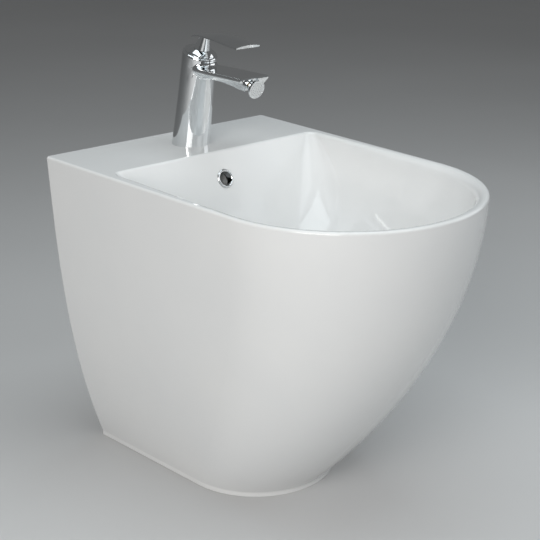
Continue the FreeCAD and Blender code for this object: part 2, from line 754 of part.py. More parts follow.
def plug_seal():
    low = PLUG_UNDERSIDE - PLUG_SEAL
    return on_drain(turned_polygon([
        (PISTON_RADIUS + THREAD_GAP, low), (PLUG_SEAL_RADIUS - PLUG_SEAL, low),
        (PLUG_SEAL_RADIUS, PLUG_UNDERSIDE), (PISTON_RADIUS + THREAD_GAP, PLUG_UNDERSIDE)]))


def plug_spring():
    """A wire wound in quarter-turn arcs between the guide's floor and the piston."""
    low = GUIDE_FLOOR + SPRING_WIRE_RADIUS
    rise = SPRING_LENGTH - 2 * SPRING_WIRE_RADIUS
    quarters = 4 * SPRING_TURNS

    def on_helix(quarter):
        turn = quarter * math.pi / 2
        height = low + rise * quarter / quarters
        return Vector(SPRING_RADIUS * math.cos(turn), SPRING_RADIUS * math.sin(turn), height)

    path = Part.Wire([arc(on_helix(q), on_helix(q + 0.5), on_helix(q + 1)) for q in range(quarters)])
    section = Part.Wire(Part.makeCircle(SPRING_WIRE_RADIUS, on_helix(0), path.Edges[0].tangentAt(0)))
    return on_drain(path.makePipeShell([section], True, False))


def column():
    """The leaning column, cut level with the deck and along the head's tipped rim."""
    foot = -COLUMN_FOOT_RADIUS
    height = HEAD_HEIGHT + COLUMN_HEAD_RADIUS * math.tan(math.radians(HEAD_RIM_TILT)) + OPEN_GAP
    axis_low = Vector(0, 0, foot)
    low = Vector(COLUMN_FOOT_RADIUS, 0, foot)
    start = Vector(COLUMN_FOOT_RADIUS, 0, 0)
    waist = Vector(COLUMN_WAIST_RADIUS, 0, COLUMN_WAIST_HEIGHT)
    top = Vector(COLUMN_HEAD_RADIUS, 0, height)
    axis_top = Vector(0, 0, height)
    solid = turned([line(axis_low, low), line(low, start), arc(start, waist, top), line(top, axis_top),
                    line(axis_top, axis_low)])
    below = block(spot(-BODY_WIDTH, BODY_DEPTH, 0), spot(BODY_WIDTH, -BODY_DEPTH, DECK_Z))
    return on_column(solid).cut([below, above_rim()])


def above_rim():
    return on_rim(block(Vector(-BODY_WIDTH, -BODY_WIDTH, 0), Vector(BODY_WIDTH, BODY_WIDTH, BODY_WIDTH)))


def spout_section(setback, half, depth):
    """A flat-topped section with upright side edges and sloping cheeks down to a flat keel."""
    edge = SPOUT_TOP_Z - SPOUT_EDGE
    keel = SPOUT_TOP_Z - depth
    corners = [(-half, SPOUT_TOP_Z), (half, SPOUT_TOP_Z), (half, edge),
               (SPOUT_KEEL_HALF_WIDTH, keel), (-SPOUT_KEEL_HALF_WIDTH, keel), (-half, edge)]
    rounds = [SPOUT_EDGE_ROUND, SPOUT_EDGE_ROUND, SPOUT_EDGE_ROUND,
              SPOUT_KEEL_ROUND, SPOUT_KEEL_ROUND, SPOUT_EDGE_ROUND]
    return rounded_outline([spot(x, setback, z) for x, z in corners], rounds)


def spout():
    """The flat spout from the column's axis to its tip, wider and deeper towards the tip."""
    root = TAP_SETBACK + SPOUT_TOP * math.tan(LEAN)
    near = root + COLUMN_HEAD_RADIUS
    run = SPOUT_REACH - SPOUT_TIP_LENGTH - near
    near_half = (SPOUT_ROOT_HALF_WIDTH + SPOUT_HALF_WIDTH) / 2
    sections = [spout_section(root, SPOUT_ROOT_HALF_WIDTH, SPOUT_DEPTH),
                spout_section(near, near_half, SPOUT_DEPTH)]
    for i in range(1, SPOUT_SECTIONS):
        share = i / (SPOUT_SECTIONS - 1)
        depth = SPOUT_DEPTH + (SPOUT_TIP_DEPTH - SPOUT_DEPTH) * share ** SPOUT_SWELL_POWER
        sections.append(spout_section(near + run * share, SPOUT_HALF_WIDTH, depth))
    sections.append(spout_section(SPOUT_REACH, SPOUT_HALF_WIDTH, SPOUT_TIP_DEPTH))
    return loft(sections)


def spout_front():
    """What the spout's undercut front and the pocket around the spray head take away."""
    big = SPOUT_REACH
    below = block(Vector(-big, -big, -big), Vector(big, 0, 0))
    undercut = placed(below, spot(0, SPOUT_REACH, SPOUT_TOP_Z - SPOUT_FRONT_EDGE), SPOUT_FRONT_UNDERCUT)
    low = RETAINER_FRONT + RETAINER_FLARE
    mouth = NOZZLE_POCKET_RADIUS + NOZZLE_POCKET_FLARE
    pocket = Part.makeCone(NOZZLE_POCKET_RADIUS, mouth, HEAD_FRONT - low, Vector(0, 0, low))
    return [undercut, on_ball(pocket)]


def tap_shell():
    """The column and spout with rounded joins, before the waterways."""
    post = column()
    arm = spout()
    shell = post.fuse(arm)
    shell = shell.makeFillet(SPOUT_ROOT_ROUND, meeting_edges(shell, post, arm))
    rim_tilt = LEAN + math.radians(HEAD_RIM_TILT)
    rim_normal = Vector(0, -math.sin(rim_tilt), math.cos(rim_tilt))
    rim = edges_in_plane(shell, column_point(0, 0, HEAD_HEIGHT), rim_normal)
    return shell.makeFillet(HEAD_RIM_ROUND, rim).cut(spout_front())


def inlet_ways():
    """The two inlets' sockets and their ways up to the cartridge."""
    ways = []
    for side in (1, -1):
        mouth = spot(side * INLET_HALF_SPACING, TAP_SETBACK - INLET_BACK, DECK_Z)
        top = mouth.add(Vector(0, 0, INLET_DEPTH))
        port = column_point(side * PORT_HALF_SPACING, PORT_BACK, CAVITY_FLOOR + OPEN_GAP)
        ways.append(pipe(mouth, top, INLET_RADIUS))
        ways.append(pipe(top.sub(Vector(0, 0, WATERWAY_RADIUS)), port, WATERWAY_RADIUS))
    return ways


def outlet_way():
    """The mixed water's way: under the cartridge, up beside it and out along the spout."""
    beside = -(BORE_RADIUS - OPEN_GAP)
    low = CAVITY_FLOOR - CARTRIDGE_BASE
    pocket = block(Vector(-WATERWAY_RADIUS, beside, low),
                   Vector(WATERWAY_RADIUS, -OUTLET_PORT_FORWARD + WATERWAY_RADIUS, CAVITY_FLOOR))
    rise = (SPOUT_TOP - SPOUT_DEPTH / 2 - beside * math.sin(LEAN)) / math.cos(LEAN)
    start = column_point(0, beside, rise)
    end = spot(0, BALL_SETBACK - SEAT_BORE, BALL_Z + OPEN_GAP)
    return [
        on_column(pocket),
        on_column(rod(WATERWAY_RADIUS, low, rise + WATERWAY_RADIUS, 0, beside)),
        pipe(start, end, SPOUT_BORE_RADIUS),
    ]


def tap_body():
    mouth_end = RETAINER_FRONT + RETAINER_FLARE + OPEN_GAP
    stud_foot = spot(0, TAP_SETBACK + STUD_FORWARD, DECK_Z)
    seal_groove = ring(BASE_SEAL_RADIUS + BASE_SEAL_WIDTH / 2, BASE_SEAL_RADIUS - BASE_SEAL_WIDTH / 2, 0,
                       BASE_SEAL_HEIGHT)
    return tap_shell().cut(inlet_ways() + outlet_way() + [
        on_column(rod(BORE_RADIUS, CAVITY_FLOOR, HEAD_HEIGHT + COLUMN_HEAD_RADIUS)),
        on_ball(rod(SEAT_BORE, -SEAT_BORE, RETAINER_BACK)),
        on_ball(rod(RETAINER_RADIUS + THREAD_GAP, RETAINER_BACK, mouth_end)),
        pipe(stud_foot, stud_foot.add(Vector(0, 0, STUD_SOCKET)), STUD_RADIUS + THREAD_GAP),
        placed(seal_groove, spot(0, TAP_SETBACK, DECK_Z), 0),
    ])


def tap_base_seal():
    seal = ring(BASE_SEAL_RADIUS + BASE_SEAL_WIDTH / 2 - SLIDE_GAP,
                BASE_SEAL_RADIUS - BASE_SEAL_WIDTH / 2 + SLIDE_GAP, 0, BASE_SEAL_HEIGHT)
    return placed(seal, spot(0, TAP_SETBACK, DECK_Z), 0)


def under_deck(shape):
    return placed(shape, spot(0, TAP_SETBACK, DECK_UNDERSIDE), 0)


def horseshoe(radius, low, high):
    """A clamp disc with a slot for the supply pipes, open towards the wall, and a stud hole."""
    slot = block(Vector(-CLAMP_SLOT_HALF_WIDTH, INLET_BACK - INLET_HALF_SPACING, low),
                 Vector(CLAMP_SLOT_HALF_WIDTH, radius + OPEN_GAP, high))
    hole = rod(STUD_RADIUS + SLIDE_GAP, low, high, 0, -STUD_FORWARD)
    return under_deck(rod(radius, low, high).cut([slot, hole]))


def clamp_washer():
    return horseshoe(CLAMP_WASHER_RADIUS, -CLAMP_WASHER, 0)


def clamp_plate():
    return horseshoe(CLAMP_PLATE_RADIUS, -CLAMP_WASHER - CLAMP_PLATE, -CLAMP_WASHER)


def clamp_nut():
    top = -CLAMP_WASHER - CLAMP_PLATE
    nut = hexagon(CLAMP_NUT_FLATS, top - CLAMP_NUT_HEIGHT, top, STUD_RADIUS + THREAD_GAP)
    nut.translate(Vector(0, -STUD_FORWARD, 0))
    return under_deck(nut)


def tap_stud():
    low = -CLAMP_WASHER - CLAMP_PLATE - CLAMP_NUT_HEIGHT - STUD_TAIL
    return under_deck(rod(STUD_RADIUS, low, DECK_THICKNESS + STUD_SOCKET, 0, -STUD_FORWARD))


def port_places():
    """The cartridge's two inlets and its outlet, across its base."""
    return [(PORT_HALF_SPACING, PORT_BACK), (-PORT_HALF_SPACING, PORT_BACK), (0.0, -OUTLET_PORT_FORWARD)]


def with_ports(solid, low, high):
    return solid.cut([rod(PORT_RADIUS, low, high, x, y) for x, y in port_places()])


def cartridge_base():
    solid = with_ports(rod(CARTRIDGE_RADIUS, CAVITY_FLOOR, DISC_SEAT), CAVITY_FLOOR, DISC_SEAT)
    seats = [rod(PORT_SEAL_RADIUS, CAVITY_FLOOR, CAVITY_FLOOR + PORT_SEAL, x, y) for x, y in port_places()]
    return on_column(solid.cut(seats))


def port_seals():
    seals = []
    for x, y in port_places():
        seal = ring(PORT_SEAL_RADIUS - SLIDE_GAP, PORT_RADIUS, CAVITY_FLOOR, CAVITY_FLOOR + PORT_SEAL)
        seal.translate(Vector(x, y, 0))
        seals.append(on_column(seal))
    return Part.makeCompound(seals)


def fixed_disc():
    high = DISC_SEAT + FIXED_DISC
    return on_column(with_ports(rod(HOUSING_BORE - FIT_GAP, DISC_SEAT, high), DISC_SEAT, high))


def cartridge_housing():
    solid = rod(CARTRIDGE_RADIUS, DISC_SEAT, HOUSING_TOP)
    solid = solid.cut(rod(HOUSING_BORE, DISC_SEAT, HOUSING_LID))
    return on_column(solid.cut(rod(ROTOR_NECK_RADIUS + FIT_GAP, HOUSING_LID, HOUSING_TOP)))


def moving_disc():
    high = MOVING_DISC_SEAT + MOVING_DISC
    mixing = rod(MIXING_RADIUS, MOVING_DISC_SEAT, MOVING_DISC_SEAT + MOVING_DISC / 2)
    disc = rod(MOVING_DISC_RADIUS, MOVING_DISC_SEAT, high).cut(mixing)
    disc.translate(Vector(0, DISC_OFFSET, 0))
    return on_column(disc)


def disc_carrier():
    high = CARRIER_SEAT + CARRIER
    floor = CARRIER_SEAT + CARRIER / 2 - STEM_BALL_RADIUS - MOVING_GAP
    socket = rod(STEM_BALL_RADIUS + FIT_GAP, floor, high)
    carrier = rod(MOVING_DISC_RADIUS, CARRIER_SEAT, high).cut(socket)
    carrier.translate(Vector(0, DISC_OFFSET, 0))
    return on_column(carrier)


def cartridge_rotor():
    top = ROTOR_SHOULDER + ROTOR_NECK
    solid = rod(HOUSING_BORE - FIT_GAP, ROTOR_SEAT, ROTOR_SHOULDER)
    solid = solid.fuse(rod(ROTOR_NECK_RADIUS, ROTOR_SHOULDER, top))
    swing = STEM_ARM * math.tan(HALF_LIFT) + STEM_RADIUS / math.cos(HALF_LIFT) + MOVING_GAP
    half = STEM_RADIUS + FIT_GAP
    slot = block(Vector(-half, -swing, ROTOR_SEAT), Vector(half, swing, top))
    pin = pipe(Vector(-PIN_LENGTH / 2, 0, PIVOT), Vector(PIN_LENGTH / 2, 0, PIVOT), PIN_RADIUS)
    return on_column(solid.cut([slot, pin]))


def rotor_pin():
    ends = Vector(PIN_LENGTH / 2, 0, 0)
    middle = Vector(0, 0, PIVOT)
    return on_column(pipe(middle.sub(ends), middle.add(ends), PIN_RADIUS))


def lever_stem():
    shank = rod(STEM_RADIUS, -STEM_ARM + STEM_BALL_RADIUS + STEM_RADIUS, STEM_REACH)
    neck = rod(STEM_NECK_RADIUS, -STEM_ARM, 0)
    ball = Part.makeSphere(STEM_BALL_RADIUS, Vector(0, 0, -STEM_ARM))
    reach = Vector(STEM_RADIUS * 2, 0, 0)
    hole = pipe(Vector(0, 0, 0).sub(reach), reach, PIN_RADIUS + RUNNING_GAP)
    return on_stem(shank.fuse([neck, ball]).cut(hole))


def cartridge_nut():
    solid = ring(BORE_RADIUS - THREAD_GAP, RETAINING_NUT_BORE, HOUSING_TOP, NUT_TOP)
    for i in range(NUT_NOTCHES):
        notch = block(Vector(0, -NUT_NOTCH / 2, NUT_TOP - NUT_NOTCH),
                      Vector(RETAINING_NUT_BORE + NUT_NOTCH, NUT_NOTCH / 2, NUT_TOP))
        notch.rotate(Vector(0, 0, 0), Vector(0, 0, 1), i * 360 / NUT_NOTCHES)
        solid = solid.cut(notch)
    return on_column(solid)


def cartridge_cap():
    """A collar in the head's mouth with a lip on the rim and a dome about the lever's pivot."""
    pivot = Vector(0, 0, PIVOT)
    outer = BORE_RADIUS - THREAD_GAP
    high = HEAD_HEIGHT + DOME_RADIUS
    collar = on_column(rod(outer, NUT_TOP, high)).cut(above_rim())
    lip = on_rim(rod(CAP_LIP_RADIUS, 0, CAP_LIP))
    ball = on_column(Part.makeSphere(DOME_RADIUS, pivot))
    dome = ball.common(on_rim(rod(CAP_LIP_RADIUS, 0, DOME_RADIUS)))
    inside = Part.makeSphere(DOME_RADIUS - DOME_SHELL, pivot).common(rod(outer - CAP_WALL, NUT_TOP, high))
    hole = rod(STEM_HOLE_RADIUS, NUT_TOP, high)
    return collar.fuse([lip, dome]).cut([on_column(inside), on_column(hole)])


def lever_section(setback, low, half, edge, crown):
    return Part.Wire([
        line(spot(-half, setback, low), spot(half, setback, low)),
        line(spot(half, setback, low), spot(half, setback, low + edge)),
        arc(spot(half, setback, low + edge), spot(0, setback, low + edge + crown),
            spot(-half, setback, low + edge)),
        line(spot(-half, setback, low + edge), spot(-half, setback, low)),
    ])


def lever_blade():
    run = LEVER_REACH - LEVER_BACK
    sections = []
    for along, rise, spread, edge, crown in LEVER_STATIONS:
        half = LEVER_BACK_HALF_WIDTH + (LEVER_HALF_WIDTH - LEVER_BACK_HALF_WIDTH) * spread
        low = LEVER_Z + LEVER_ARCH * rise
        setback = LEVER_BACK + run * along
        sections.append(lever_section(setback, low, half, LEVER_EDGE * edge, LEVER_CROWN * crown))
    below = block(Vector(-LEVER_REACH, -LEVER_REACH, -LEVER_REACH), Vector(LEVER_REACH, 0, LEVER_REACH))
    front_top = spot(0, LEVER_REACH, LEVER_Z + LEVER_EDGE + LEVER_CROWN / 2)
    return loft(sections).cut(placed(below, front_top, LEVER_FRONT_UNDERCUT))


def lever_neck():
    """The neck between the dome and the blade, hollowed by a sphere about the pivot."""
    pivot = column_point(0, 0, PIVOT)
    tilt = math.radians(TAP_LEAN + LIFT_ANGLE / 2)
    along = Vector(0, -math.sin(tilt), math.cos(tilt))
    foot = pivot.add(along * (DOME_RADIUS * math.cos(math.asin(LEVER_SKIRT_RADIUS / DOME_RADIUS))))
    reach = (LEVER_Z + LEVER_ARCH + LEVER_EDGE / 2 - pivot.z) / along.z
    head = pivot.add(along * reach).add(Vector(0, -LEVER_NECK_FORWARD, 0))
    middle = foot.add(head) * 0.5
    upright = Vector(0, 0, 1)
    skirt = Part.Wire(Part.makeCircle(LEVER_SKIRT_RADIUS, foot, along))
    waist = Part.Wire(Part.makeCircle(LEVER_NECK_WAIST_RADIUS, middle, along.add(upright)))
    collar = Part.Wire(Part.makeCircle(LEVER_NECK_RADIUS, head, upright))
    return loft([skirt, waist, collar]).cut(Part.makeSphere(DOME_RADIUS + MOVING_GAP, pivot))


def grub_hole(radius, start, end):
    """A round hole square to the stem, on the side towards the wall."""
    return on_stem(pipe(Vector(0, start, GRUB_HEIGHT), Vector(0, end, GRUB_HEIGHT), radius))


def lever_handle():
    solid = lever_blade().fuse(lever_neck())
    return solid.cut([
        on_stem(rod(STEM_RADIUS + THREAD_GAP, 0, STEM_REACH)),
        grub_hole(GRUB_RADIUS + THREAD_GAP, 0, DOME_RADIUS),
        grub_hole(INDEX_RADIUS + THREAD_GAP, STEM_RADIUS + GRUB_LENGTH, DOME_RADIUS),
    ])


def lever_grub_screw():
    return grub_hole(GRUB_RADIUS, STEM_RADIUS, STEM_RADIUS + GRUB_LENGTH)


def lever_index_plug():
    start = STEM_RADIUS + GRUB_LENGTH
    return grub_hole(INDEX_RADIUS, start, start + INDEX_DEPTH)


def nozzle_seat_ring():
    outer = BALL_RADIUS + SLIDE_GAP + SEAT_RING
    shell = Part.makeSphere(outer).cut(Part.makeSphere(BALL_RADIUS + SLIDE_GAP))
    return on_ball(shell.common(rod(outer, -SEAT_RING_BACK, -SEAT_RING_FRONT)))


def seal_band():
    """The ring that both the retainer's groove and its seal fill."""
    low = (RETAINER_BACK + RETAINER_FRONT - RETAINER_SEAL_HEIGHT) / 2
    return ring(RETAINER_RADIUS, RETAINER_RADIUS - RETAINER_SEAL_DEPTH, low, low + RETAINER_SEAL_HEIGHT)


def nozzle_retainer():
    mouth = math.sqrt((BALL_RADIUS + SLIDE_GAP) ** 2 - RETAINER_FRONT ** 2)
    front = RETAINER_FRONT + RETAINER_FLARE
    solid = rod(RETAINER_RADIUS, RETAINER_BACK, front)
    flare = Part.makeCone(mouth, mouth + RETAINER_FLARE_WIDTH, RETAINER_FLARE, Vector(0, 0, RETAINER_FRONT))
    seat = Part.makeSphere(BALL_RADIUS + SLIDE_GAP)
    return on_ball(solid.cut([flare, seat, seal_band()]))


def retainer_seal():
    return on_ball(seal_band())


def nozzle_ball():
    high = HEAD_BACK + HEAD_BACK_WALL
    solid = Part.makeSphere(BALL_RADIUS).fuse(rod(NOZZLE_NECK_RADIUS, 0, high))
    return on_ball(solid.cut(rod(NOZZLE_BORE_RADIUS, -BALL_RADIUS, high)))


def nozzle_head():
    neck = NOZZLE_NECK_RADIUS + THREAD_GAP
    seat = HEAD_FRONT - SPRAY_PLATE - SPRAY_PLATE_SINK
    mouth = HEAD_RADIUS - HEAD_WALL
    return on_ball(turned_polygon([
        (neck, HEAD_BACK), (HEAD_SHOULDER_RADIUS, HEAD_SHOULDER), (HEAD_RADIUS, HEAD_FRONT - HEAD_BAND),
        (HEAD_RADIUS, HEAD_FRONT), (mouth, HEAD_FRONT), (mouth, seat), (mouth - HEAD_WALL, seat),
        (HEAD_SHOULDER_RADIUS - HEAD_WALL, HEAD_SHOULDER + HEAD_WALL), (neck, HEAD_BACK + HEAD_BACK_WALL)]))


def spray_plate():
    high = HEAD_FRONT - SPRAY_PLATE_SINK
    low = high - SPRAY_PLATE
    holes = [rod(SPRAY_HOLE_RADIUS, low, high)]
    for turn in range(1, SPRAY_RINGS + 1):
        count = SPRAY_SPOKES * turn
        for i in range(count):
            angle = 2 * math.pi * i / count
            x = SPRAY_PITCH * turn * math.cos(angle)
            y = SPRAY_PITCH * turn * math.sin(angle)
            holes.append(rod(SPRAY_HOLE_RADIUS, low, high, x, y))
    return on_ball(rod(HEAD_RADIUS - HEAD_WALL - THREAD_GAP, low, high).cut(holes))


def floor_bracket(side):
    inner = side * BRACKET_INNER_X
    outer = side * BRACKET_OUTER_X
    half = BRACKET_LENGTH / 2
    low = spot(min(inner, outer), LEDGE_SETBACK + half, 0)
    high = spot(max(inner, outer), LEDGE_SETBACK - half, LEDGE_BOTTOM)
    floor_hole = spot(side * FLOOR_HOLE_X, LEDGE_SETBACK, 0)
    sink = floor_hole.add(Vector(0, 0, LEDGE_BOTTOM - FLOOR_SINK_DEPTH))
    top = floor_hole.add(Vector(0, 0, LEDGE_BOTTOM))
    bolt_top = spot(side * BRACKET_BOLT_X, LEDGE_SETBACK, LEDGE_BOTTOM)
    bolt_foot = bolt_top.sub(Vector(0, 0, BRACKET_BOLT_SOCKET))
    return block(low, high).cut([
        pipe(floor_hole, top, FLOOR_HOLE_RADIUS),
        pipe(sink, top, FLOOR_SINK_RADIUS),
        pipe(bolt_foot, bolt_top, BRACKET_BOLT_RADIUS + THREAD_GAP),
    ])


def on_ledges(shape):
    """The shape on both ledges, its origin on their top face at the bolt's axis."""
    top = LEDGE_BOTTOM + LEDGE_THICKNESS
    return Part.makeCompound([placed(shape, spot(x, LEDGE_SETBACK, top), 0)
                              for x in (BRACKET_BOLT_X, -BRACKET_BOLT_X)])


def bracket_washers():
    return on_ledges(ring(BRACKET_WASHER_RADIUS, BRACKET_BOLT_RADIUS + SLIDE_GAP, 0, BRACKET_WASHER))


def bracket_bolts():
    top = BRACKET_WASHER + BRACKET_BOLT_HEAD
    head = hexagon(BRACKET_BOLT_FLATS, BRACKET_WASHER, top, BRACKET_BOLT_RADIUS)
    shank = rod(BRACKET_BOLT_RADIUS, -LEDGE_THICKNESS - BRACKET_BOLT_SOCKET, top)
    return on_ledges(head.fuse(shank))


NODES = {
    "ceramic_body": ceramic_body,
    "overflow_ring": overflow_ring,
    "waste_body": waste_body,
    "waste_gasket": waste_gasket,
    "waste_cone_washer": waste_cone_washer,
    "waste_backnut": waste_backnut,
    "waste_plug": waste_plug,
    "plug_seal": plug_seal,
    "plug_stem": plug_stem,
    "plug_spring": plug_spring,
    "plug_guide": plug_guide,
    "tap_body": tap_body,
    "tap_base_seal": tap_base_seal,
    "tap_stud": tap_stud,
    "clamp_washer": clamp_washer,
    "clamp_plate": clamp_plate,
    "clamp_nut": clamp_nut,
    "cartridge_base": cartridge_base,
    "port_seals": port_seals,
    "fixed_disc": fixed_disc,
    "cartridge_housing": cartridge_housing,
    "cartridge_nut": cartridge_nut,
    "cartridge_cap": cartridge_cap,
    "cartridge_rotor": cartridge_rotor,
    "rotor_pin": rotor_pin,
    "moving_disc": moving_disc,
    "disc_carrier": disc_carrier,
    "lever_stem": lever_stem,
    "lever_handle": lever_handle,
    "lever_grub_screw": lever_grub_screw,
    "lever_index_plug": lever_index_plug,
    "nozzle_retainer": nozzle_retainer,
    "retainer_seal": retainer_seal,
    "nozzle_seat_ring": nozzle_seat_ring,
    "nozzle_ball": nozzle_ball,
    "nozzle_head": nozzle_head,
    "spray_plate": spray_plate,
    "floor_bracket_left": lambda: floor_bracket(-1),
    "floor_bracket_right": lambda: floor_bracket(1),
    "bracket_washers": bracket_washers,
    "bracket_bolts": bracket_bolts,
}

os.makedirs("parts", exist_ok=True)
for name, make in NODES.items():
    shape = make()
    shape.exportStep("parts/" + name + ".step")
    print(name, len(shape.Solids), shape.isValid(), round(shape.Volume / 1000, 2), "cm3")
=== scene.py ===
import math

import bpy
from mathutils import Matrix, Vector


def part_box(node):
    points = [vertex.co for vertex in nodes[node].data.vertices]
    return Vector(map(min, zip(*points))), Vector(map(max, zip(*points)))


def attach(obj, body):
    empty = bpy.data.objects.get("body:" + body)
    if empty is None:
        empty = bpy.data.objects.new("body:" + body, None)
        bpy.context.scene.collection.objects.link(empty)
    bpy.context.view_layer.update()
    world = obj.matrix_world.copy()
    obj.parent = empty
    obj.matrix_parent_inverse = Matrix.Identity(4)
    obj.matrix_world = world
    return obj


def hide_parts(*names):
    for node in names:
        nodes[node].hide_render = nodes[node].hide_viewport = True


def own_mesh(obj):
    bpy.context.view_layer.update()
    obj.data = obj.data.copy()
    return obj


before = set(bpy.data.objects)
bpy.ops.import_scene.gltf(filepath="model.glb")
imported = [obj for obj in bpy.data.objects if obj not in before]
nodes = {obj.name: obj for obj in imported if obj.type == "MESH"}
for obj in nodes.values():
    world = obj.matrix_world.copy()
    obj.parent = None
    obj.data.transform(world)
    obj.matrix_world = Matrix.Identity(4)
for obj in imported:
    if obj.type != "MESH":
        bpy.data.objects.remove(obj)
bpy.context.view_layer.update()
scene = bpy.context.scene
scene.view_settings.view_transform = "Standard"

# The camera stands in front and to the left of the bidet, a little above it.
# Places and lengths are in metres, the lens and the sensor in millimetres.
CAMERA_AT = (-0.9613, -1.0596, 0.8022)
CAMERA_AIM = (-0.03266, -0.0025, 0.29343)
CAMERA_LENS = 82.18
CAMERA_SENSOR = 36.0
CAMERA_NEAR = 0.05
CAMERA_FAR = 100.0

FLOOR_RADIUS = 30.0
FLOOR_SIDES = 96
FLOOR_DROP = 0.0004

WORLD_COLOUR = (0.97, 0.99, 1.0, 1.0)
WORLD_STRENGTH = 0.14

# Painted shade: the glaze is painted dark around a point behind the middle of the overflow's ring, as
# shade inside the hole.
THROAT_DEPTH = 0.012
THROAT_RADIUS = 0.014
THROAT_EDGE = 0.002
THROAT_PAINTED_SHADE = (0.035, 0.034, 0.032)

# The values that a noise mostly takes, and those of the product of two noises.
NOISE_RANGE = (0.3, 0.7)
PRODUCT_RANGE = (0.1, 0.5)

# The places of a Mix node's colours among its sockets.
MIX_FIRST = 6
MIX_SECOND = 7
MIX_RESULT = 2


class Graph:
    """A material's node tree, with short calls that add a node and join it up."""

    def __init__(self, name):
        self.material = bpy.data.materials.new(name)
        self.material.use_nodes = True
        self.tree = self.material.node_tree
        self.shader = self.tree.nodes["Principled BSDF"]
        self.place = self.add("ShaderNodeTexCoord").outputs["Object"]

    def add(self, kind, **values):
        node = self.tree.nodes.new(kind)
        for key, value in values.items():
            setattr(node, key, value)
        return node

    def join(self, source, target):
        self.tree.links.new(source, target)

    def put(self, node, **values):
        """Sets a node's inputs by name, from a number, a colour or another node's output."""
        for key, value in values.items():
            socket = node.inputs[key.replace("_", " ")]
            if isinstance(value, bpy.types.NodeSocket):
                self.join(value, socket)
            else:
                socket.default_value = value

    def stretched(self, scale):
        """The place on the object, scaled apart along X, Y and Z."""
        node = self.add("ShaderNodeMapping")
        self.put(node, Vector=self.place, Scale=scale)
        return node.outputs["Vector"]

    def noise(self, scale, detail, rough=0.5, place=None):
        node = self.add("ShaderNodeTexNoise")
        self.put(node, Vector=place or self.place, Scale=scale, Detail=detail, Roughness=rough)
        return node.outputs["Fac"]

    def cells(self, scale):
        node = self.add("ShaderNodeTexVoronoi")
        self.put(node, Vector=self.place, Scale=scale)
        return node.outputs["Distance"]

    def span(self, value, low, high, within=NOISE_RANGE):
        """Carries value from the range within to the range from low to high."""
        start, end = within
        node = self.add("ShaderNodeMapRange")
        self.put(node, Value=value, From_Min=start, From_Max=end, To_Min=low, To_Max=high)
        return node.outputs["Result"]

    def colours(self, value, dark, light, within=NOISE_RANGE):
        """Goes from dark to light as value crosses the range within."""
        node = self.add("ShaderNodeValToRGB")
        self.join(value, node.inputs["Fac"])
        for element, position, colour in zip(node.color_ramp.elements, within, (dark, light)):
            element.position = position
            element.color = (*colour, 1.0)
        return node.outputs["Color"]

    def product(self, a, b):
        node = self.add("ShaderNodeMath", operation="MULTIPLY")
        self.join(a, node.inputs[0])
        self.join(b, node.inputs[1])
        return node.outputs["Value"]

    def beyond(self, point, start, end):
        """0 within start metres of a point of the object, 1 beyond end."""
        node = self.add("ShaderNodeVectorMath", operation="DISTANCE")
        self.join(self.place, node.inputs[0])
        node.inputs[1].default_value = point
        return self.span(node.outputs["Value"], low=0.0, high=1.0, within=(start, end))

    def blend(self, part, inside, outside):
        """The colour inside where part is 0, the output outside where it is 1."""
        node = self.add("ShaderNodeMix", data_type="RGBA")
        self.join(part, node.inputs["Factor"])
        node.inputs[MIX_FIRST].default_value = (*inside, 1.0)
        self.join(outside, node.inputs[MIX_SECOND])
        return node.outputs[MIX_RESULT]

    def relief(self, height, depth, strength, under=None):
        """Bumps depth metres high, laid over the bumps under them if there are any."""
        node = self.add("ShaderNodeBump")
        self.put(node, Height=height, Distance=depth, Strength=strength)
        if under is not None:
            self.join(under, node.inputs["Normal"])
        return node.outputs["Normal"]


def glazed_china():
    """White glaze, with painted shade darkening it in the overflow's way behind its ring."""
    g = Graph("glaze")
    cloud = g.noise(scale=7.0, detail=4.0)
    tint = g.colours(cloud, dark=(0.800, 0.806, 0.806), light=(0.830, 0.832, 0.826))
    ring_low, ring_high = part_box("overflow_ring")
    throat = (ring_low + ring_high) / 2.0 + Vector((0.0, THROAT_DEPTH, 0.0))
    # Painted shade mask: 0 near the point inside the overflow's way, 1 on the open glaze.
    outside_painted_shade = g.beyond(throat, THROAT_RADIUS - THROAT_EDGE, THROAT_RADIUS)
    pools = g.noise(scale=38.0, detail=2.0)
    fine = g.noise(scale=420.0, detail=2.0)
    waves = g.relief(pools, depth=0.00022, strength=0.35)
    g.put(
        g.shader,
        # The base colour is the painted shade inside the overflow, and the glaze's own tint elsewhere.
        Base_Color=g.blend(outside_painted_shade, THROAT_PAINTED_SHADE, tint),
        Roughness=g.span(fine, low=0.05, high=0.09),
        Normal=g.relief(fine, depth=0.00001, strength=0.25, under=waves),
        IOR=1.52,
    )
    return g.material


def polished_chrome():
    """Bright plating, with a faint cloud and fine upright polishing hairs."""
    g = Graph("plated_chrome")
    breath = g.noise(scale=55.0, detail=5.0, rough=0.6)
    hairs = g.noise(scale=1.0, detail=2.0, place=g.stretched((2600.0, 2600.0, 160.0)))
    g.put(
        g.shader,
        Base_Color=g.colours(
            breath, dark=(0.755, 0.770, 0.780), light=(0.800, 0.812, 0.818), within=(0.25, 0.75)
        ),
        Metallic=1.0,
        Roughness=g.span(g.product(breath, hairs), low=0.02, high=0.06, within=PRODUCT_RANGE),
        Normal=g.relief(hairs, depth=0.000004, strength=0.2),
    )
    return g.material


def turned_metal(name, dark, light, smooth, rough):
    """Bare machined metal, with fine turning marks and some tarnish."""
    g = Graph(name)
    tarnish = g.noise(scale=90.0, detail=5.0, rough=0.62)
    marks = g.noise(scale=1.0, detail=3.0, rough=0.55, place=g.stretched((220.0, 220.0, 3600.0)))
    g.put(
        g.shader,
        Base_Color=g.colours(tarnish, dark, light, within=(0.28, 0.72)),
        Metallic=1.0,
        Roughness=g.span(g.product(marks, tarnish), low=smooth, high=rough, within=PRODUCT_RANGE),
        Normal=g.relief(marks, depth=0.00002, strength=0.4),
    )
    return g.material


